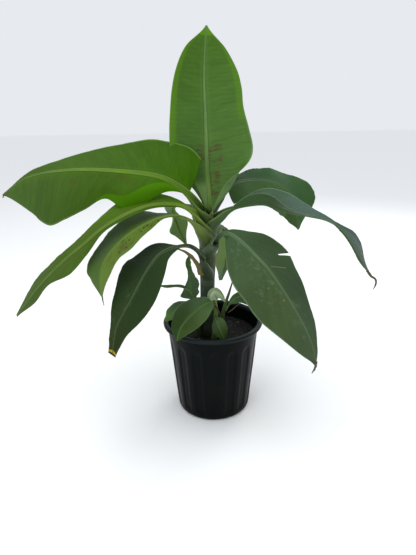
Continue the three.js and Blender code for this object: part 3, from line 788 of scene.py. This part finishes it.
def makeHalf(bm, uvLayer, leaf, side, columns, rows):
    places = gridVerts(bm, columns, rows)
    spot = {vert: (i, j) for vert, i, j in places}
    faces = {face for vert in spot for face in vert.link_faces}
    for face in faces:
        for loop in face.loops:
            u, v = loop.vert.co.x + 0.5, loop.vert.co.y + 0.5
            loop[uvLayer].uv = (u, 0.5 + side * v / 2)
    tear = leaf["tear"]
    torn = tear and tear["side"] == side
    gone = []
    if torn:
        line = round(tear["at"] * columns)
        for face in faces:
            cells = [spot[vert] for vert in face.verts]
            if min(i for i, _ in cells) == line and min(j for _, j in cells) >= tear["start"] * rows:
                gone.append(face)
    for vert, i, j in places:
        u, v = i / columns, j / rows
        lean = leaf["shear"] * v * 4 * u * (1 - u)
        if torn and v > tear["start"]:
            away = (i - line - 0.5) / columns
            push = tear["gap"] * (v - tear["start"]) / (1 - tear["start"])
            lean += math.copysign(push, away) * math.exp(-abs(away) / tear["spread"])
        vert.co = bladePoint(leaf, side, min(max(u + lean, 0.0), 1.0), v)
    if side > 0:
        bmesh.ops.reverse_faces(bm, faces=list(faces))
    if gone:
        bmesh.ops.delete(bm, geom=gone, context="FACES")


def makeBlade(leaf):
    leaf["route"] = Route(leaf["spine"])
    leaf["faceVector"] = Vector(leaf["face"])
    leaf["bladeLength"] = leaf["route"].length * (1 - leaf["bladeFrom"])
    size = "big" if leaf["bladeLength"] > bladeForm["bigLength"] else "small"
    columns = int(leaf["bladeLength"] / bladeForm[size + "Cell"])
    bm = bmesh.new()
    uvLayer = bm.loops.layers.uv.new("leafMap")
    for side in (-1, 1):
        makeHalf(bm, uvLayer, leaf, side, columns, bladeForm[size + "Rows"])
    bm.normal_update()
    look = greens[leaf["look"]]
    name = pieceName(leaf["node"])
    materials = [leafMaterial(name + "Top", look), leafMaterial(name + "Under", look, under=True)]
    nodes = [leaf["node"] + "_" + part for part in leaf["parts"]]
    piece = finishPiece(name + "Blade", bm, materials, nodes)
    body = piece.modifiers.new("thickness", "SOLIDIFY")
    body.thickness = bladeForm["thickness"]
    body.offset = -1
    body.material_offset = 1
    body.material_offset_rim = 0
    return name


def channelPoint(station, share):
    # a ring round a curved channel: out along its back and home along its groove
    wrap = math.radians(station["wrap"])
    turn = wrap * (4 * share - 1) if share <= 0.5 else wrap * (3 - 4 * share)
    reach = station["radius"]
    if share > 0.5:
        reach -= station["wall"] * max(math.cos(turn / wrap * math.pi / 2), 0) ** 0.6
    across = station["along"].cross(station["normal"]).normalized()
    return station["centre"] + (across * math.sin(turn) - station["normal"] * math.cos(turn)) * reach


def sheathRadius(leaf, height):
    # the outermost sheath at any height has the stem's own radius and the others lie inside it
    inside = leaf["layer"] - sum(ease((height - other["spine"][0][2] + 40) / 60) for other in leaves)
    return stemAt(height)[1] - stem["layer"] * max(inside, 0)


# the sheath, stalk and midrib: how far each wraps round its channel in degrees, its walls as metres or
# as a share of its radius, and the steps between rings in millimetres on the stem and metres off it
channel = {
    "sheathWrap": 150, "stalkWrap": 118, "ribWrapLess": 22, "sheathWall": 0.0013, "wallShare": 0.6,
    "sheathStep": 12, "step": 0.005, "around": 28, "smallAround": 14,
}


def sheathStations(leaf, keel):
    stations = []
    height = leaf["sheathFrom"]
    while height < leaf["spine"][0][2] - channel["sheathStep"]:
        stations.append({"centre": stemAt(height)[0], "radius": sheathRadius(leaf, height) * mm,
                         "normal": -keel, "along": up, "wrap": channel["sheathWrap"],
                         "wall": channel["sheathWall"]})
        height += channel["sheathStep"]
    return stations


def limbStation(leaf, keel, share):
    # one ring of the stalk or midrib, still shaped like the sheath where it leaves the stem
    route, bladeFrom, spineFoot = leaf["route"], leaf["bladeFrom"], leaf["spine"][0][2]
    blend = leaf["blend"] * mm / route.length
    centre, along, _, normal = frameAt(route, share, leaf["faceVector"])
    toBlade = min(share / bladeFrom, 1.0)
    normal = (-keel).lerp(normal, ease(toBlade))
    normal = along.cross(normal).normalized().cross(along)
    stalkRadius = (leaf["stalk"][0] + (leaf["stalk"][1] - leaf["stalk"][0]) * toBlade) * mm
    slim = ease((share - bladeFrom * 0.8) / (bladeFrom * 0.5))
    radius = stalkRadius * (1 - slim) + ribRadius(leaf, max(share - bladeFrom, 0) / (1 - bladeFrom)) * slim
    leave = 1.0
    if "sheathFrom" in leaf:
        leave = ease(share / blend)
        axis, _ = stemAt(min(centre.z / mm, stemHigh))
        centre = Vector((axis.x, axis.y, centre.z)).lerp(centre, ease(share / (blend * 0.6)))
        radius = sheathRadius(leaf, spineFoot) * mm * (1 - leave) + radius * leave
    freeWrap = channel["stalkWrap"] - channel["ribWrapLess"] * slim
    wrap = channel["sheathWrap"] * (1 - leave) + freeWrap * leave
    wall = channel["sheathWall"] * (1 - leave) + radius * channel["wallShare"] * leave
    return {"centre": centre, "radius": radius, "normal": normal, "along": along, "wrap": wrap,
            "wall": wall}


def makeLimb(leaf, name):
    # the sheath that wraps the stem, the stalk that leaves it and the midrib, as one tapering channel
    keel = Vector((*leaf["keel"], 0)).normalized()
    onStem = "sheathFrom" in leaf
    stations = sheathStations(leaf, keel) if onStem else []
    sheathCount = len(stations)
    count = int(leaf["route"].length / channel["step"])
    stations += [limbStation(leaf, keel, k / count) for k in range(count + 1)]
    around = channel["around" if onStem else "smallAround"]
    bm = bmesh.new()
    for vert, i, j in mappedGrid(bm, len(stations) - 1, around):
        vert.co = channelPoint(stations[i], j / around)
    closeSkin(bm)
    foot = max(sheathCount, 1) / len(stations)
    bladeStart = (sheathCount + count * leaf["bladeFrom"]) / len(stations)
    bladeMiddle = bladeStart + 0.4 * (1 - bladeStart)
    stops = list(zip((0.0, foot, bladeStart, bladeMiddle, 1.0), leaf["limb"]))
    look = {"brown": leaf["brown"], "brownTo": foot + 0.1, "edge": "#6f8050"}
    material = limbMaterial(name + "Limb", stops, look)
    finishPiece(name + "Limb", bm, [material], [leaf["node"] + "_stalk"])


def makeStemCore():
    core = {"rings": 60, "sides": 40, "inset": 0.7, "least": 3}
    bm = bmesh.new()
    for vert, i, j in mappedGrid(bm, core["rings"], core["sides"]):
        height = stemLow + (stemHigh - 6 - stemLow) * i / core["rings"]
        centre, radius = stemAt(height)
        inside = [radius - sheathRadius(leaf, height) for leaf in leaves
                  if leaf["sheathFrom"] - 8 <= height <= leaf["spine"][0][2]]
        turn = 2 * math.pi * j / core["sides"]
        reach = max(radius - (max(inside, default=0) + core["inset"]), core["least"]) * mm
        vert.co = Vector((centre.x + reach * math.cos(turn), centre.y + reach * math.sin(turn), height * mm))
    closeSkin(bm)
    stops = [(0.0, "#4a4634"), (0.4, "#46503a"), (1.0, "#7d9a4a")]
    material = limbMaterial("stemCore", stops, {"brown": 0.5, "brownTo": 0.7, "edge": "#4a5640"})
    finishPiece("stemCore", bm, [material], ["stem"])


# suckers
shoots = [
    dict(node="sucker_front_stem", spine=[(2, -36, 224), (8, -38, 290), (8, -44, 334), (6, -48, 352)],
         radii=[9, 7, 6, 4], codes=("#4c5c34", "#64803c", "#6c8a3c")),
    dict(node="sucker_left_stem", spine=[(-42, -14, 224), (-42, -15, 290), (-46, -14, 330),
         (-50, -10, 352)], radii=[10, 8, 7, 4], codes=("#3c4a34", "#48603a", "#4c6640")),
    dict(node="sucker_right_stem", spine=[(24, -14, 224), (28, -14, 290), (36, -12, 326), (46, -6, 354),
         (56, 4, 384)], radii=[9, 7, 5.5, 4, 2], codes=("#3c4a34", "#4c6434", "#40583a")),
]

youngLeaves = [
    dict(node="sucker_front_leaf", look="young", spine=[(6, -46, 322), (-2, -60, 352), (-24, -78, 352),
         (-54, -100, 336), (-84, -122, 308), (-96, -136, 276)], face=(0, -0.7, 0.7), stalk=(4.5, 3),
         bladeFrom=0.14, left=[4, 24, 36, 38, 34, 24, 2], right=[4, 24, 40, 52, 42, 24, 2],
         leftLift=[25, 10, 5], rightLift=[15, -5, -10], leftFold=[-20, 0], rightFold=[-30, -10], shear=0.1,
         ruffle=1, waves=3),
    dict(node="sucker_silver_leaf", look="silver", spine=[(9, -50, 340), (-6, -58, 352), (-10, -66, 374),
         (4, -74, 392), (22, -80, 380), (32, -84, 362)], face=(-0.5, -1, 0.6), stalk=(3.5, 2.5),
         bladeFrom=0.14, left=[3, 6, 9, 9, 6, 2], right=[3, 24, 28, 24, 14, 2], leftLift=[-10, -10],
         leftFold=[-30, -20], rightFold=[-20, 0], ruffle=1.5, waves=3),
    dict(node="sucker_ovate_leaf", look="young", spine=[(6, -46, 282), (4, -56, 304), (8, -68, 302),
         (18, -82, 281), (30, -90, 250)], face=(0.1, -1, 0.6), stalk=(3, 2), bladeFrom=0.25,
         left=[3, 18, 21, 16, 2], right=[3, 17, 20, 15, 2], leftLift=[15, 5], rightLift=[-15, -10],
         rightFold=[-20, 0], shear=0.1, ruffle=0.8, waves=3),
    dict(node="sucker_rim_leaf", look="shade", spine=[(-48, -18, 322), (-68, -26, 338), (-94, -36, 330),
         (-116, -44, 314), (-132, -48, 292)], face=(-0.3, -0.8, 1), stalk=(4, 3), bladeFrom=0.22,
         left=[3, 16, 24, 22, 4], right=[3, 14, 18, 16, 2], leftLift=[-30, -30], leftFold=[-40, -20],
         shear=0.1, ruffle=1, waves=3),
    dict(node="sucker_back_leaf", look="shade", spine=[(-50, 0, 318), (-58, 12, 346), (-64, 18, 376),
         (-65, 22, 414), (-64, 26, 458)], face=(-0.2, -1, 0.1), stalk=(4, 3), bladeFrom=0.12,
         left=[6, 34, 24, 14, 6, 4, 5, 10, 9, 2], right=[6, 24, 24, 28, 26, 20, 10, 8, 7, 2],
         leftLift=[10, 10, 20], rightLift=[10, 10, 20], leftFold=[0, 10, 20], rightFold=[0, 10, 20],
         ruffle=3, waves=5),
    dict(node="sucker_strap_leaf", look="shade", spine=[(-50, -14, 344), (-64, -26, 372), (-90, -36, 388),
         (-122, -40, 390), (-152, -44, 396)], face=(0, -0.3, 1), stalk=(3, 2), bladeFrom=0.2,
         left=[2, 7, 7, 6, 2], right=[2, 7, 7, 6, 2], leftLift=[20, 20], rightLift=[20, 20], shear=0.1,
         ruffle=0.6, waves=3),
    dict(node="sucker_right_leaf", look="young", spine=[(34, -20, 306), (50, -28, 336), (70, -24, 350),
         (90, -14, 344), (108, -4, 314)], face=(0, -0.8, 1), stalk=(3.5, 2.5), bladeFrom=0.22,
         left=[3, 12, 16, 12, 2], right=[3, 14, 18, 14, 2], leftLift=[10, -10], rightLift=[-10, -10],
         rightFold=[-20, 0], shear=0.1, ruffle=0.8, waves=3),
]

# loose dry bits: strips and tips that have dried on the plant, each with a half width and half thickness
strands = [
    dict(name="drySheathStrip", spine=[(-88, -92, 512), (-70, -78, 500), (-54, -64, 482), (-40, -48, 456),
         (-31, -28, 418)], wide=[2, 4, 6, 7, 8], thin=1.2, colour="#6c6034"),
    dict(name="dryTailMid", spine=[(-264, -181, 426), (-263, -183, 414), (-261, -184, 400)],
         wide=[2.5, 1.6, 0.6], thin=0.8, colour="#4a3c24"),
    dict(name="dryHookArch", spine=[(386, -113, 454), (396, -114, 440), (408, -116, 431), (410, -117, 418),
         (404, -118, 404)], wide=[4, 3, 2.6, 2, 0.7], thin=0.9, colour="#4c4028"),
    dict(name="dryCurlLow", spine=[(248, -212, 256), (247, -214, 240), (243, -214, 230), (240, -212, 222)],
         wide=[4, 3, 2.2, 0.8], thin=0.9, colour="#4a4630"),
    dict(name="dryTipHigh", spine=[(-496, -80, 656), (-502, -80, 650), (-505, -81, 643)], wide=[3, 2.4, 1],
         thin=1.0, colour="#5a5040"),
    dict(name="brownStrip", spine=[(3, -54, 345), (12, -50, 328), (19, -46, 308), (20, -44, 290)],
         wide=[1.5, 2.5, 2.5, 1.5], thin=1.0, colour="#54402e"),
    dict(name="dryTwig", spine=[(79, -12, 327), (66, -18, 320), (54, -22, 311), (42, -26, 304)],
         wide=[0.8, 1.2, 1.4, 1.0], thin=0.9, colour="#6a5040"),
]


def makeTube(name, spine, radiusAt, around, face, material, nodes=(), step=0.004):
    # a closed tube along a route; radiusAt gives its reach at a share of the length and a turn round it
    route = Route(spine)
    rings = max(int(route.length / step), 3)
    bm = bmesh.new()
    for vert, i, j in mappedGrid(bm, rings, around):
        point, _, across, normal = frameAt(route, i / rings, face)
        turn = 2 * math.pi * (j % around) / around
        wide, deep = radiusAt(i / rings, turn)
        vert.co = point + (across * wide * math.cos(turn) + normal * deep * math.sin(turn)) * mm
    closeSkin(bm)
    finishPiece(name, bm, [material], nodes)


def pieceName(node):
    words = node.split("_")
    return words[0] + "".join(word.title() for word in words[1:])


def makeShoot(shoot):
    def radiusAt(share, turn):
        # each young sheath laps the next, which leaves a low step that winds up the shoot
        step = ((turn / (2 * math.pi) + share * 1.5) * 2) % 1.0
        reach = between(shoot["radii"], share) * (0.94 + 0.08 * step)
        return reach, reach
    stops = list(zip((0.0, 0.5, 1.0), shoot["codes"]))
    look = {"brown": 0.4, "brownTo": 0.5, "edge": shoot["codes"][2]}
    name = pieceName(shoot["node"])
    makeTube(name, shoot["spine"], radiusAt, 24, Vector((0, -1, 0.1)), limbMaterial(name, stops, look),
             [shoot["node"]])


def makeStrand(strand):
    def radiusAt(share, turn):
        sway = 1 + 0.35 * noise.noise(Vector((share * 7, turn, len(strand["name"]))))
        wide = between(strand["wide"], share) * sway
        return wide, min(strand["thin"], wide)
    material = plainMaterial(strand["name"], strand["colour"], 0.8, 0.35, 220)
    makeTube(strand["name"], strand["spine"], radiusAt, 10, Vector((-0.4, -1, 0.3)), material,
             step=0.002)


# build
makeCamera()
makeLights()
makePot()
makeSoil()
makeBark()
print("pot and soil done")
for leaf in leaves + youngLeaves:
    for key, value in plainLeaf.items():
        leaf.setdefault(key, value)
makeStemCore()
for leaf in leaves:
    leaf.update(slot="leaf", brown=0.5)
    makeLimb(leaf, makeBlade(leaf))
print("leaves done")
for shoot in shoots:
    makeShoot(shoot)
for order, leaf in enumerate(youngLeaves):
    keel = (Vector(leaf["spine"][1]) - Vector(leaf["spine"][0])).xy
    leaf.update(slot="sucker_leaf", layer=order + 20, parts=("blade",), keel=tuple(keel.normalized()),
                brown=0.2)
    leaf["limb"] = ("#54703c", "#5c7c3c", "#5f8040", "#587a3c", greens[leaf["look"]]["ribside"])
    makeLimb(leaf, makeBlade(leaf))
for strand in strands:
    makeStrand(strand)
print("suckers and dry bits done")

makeFloor()
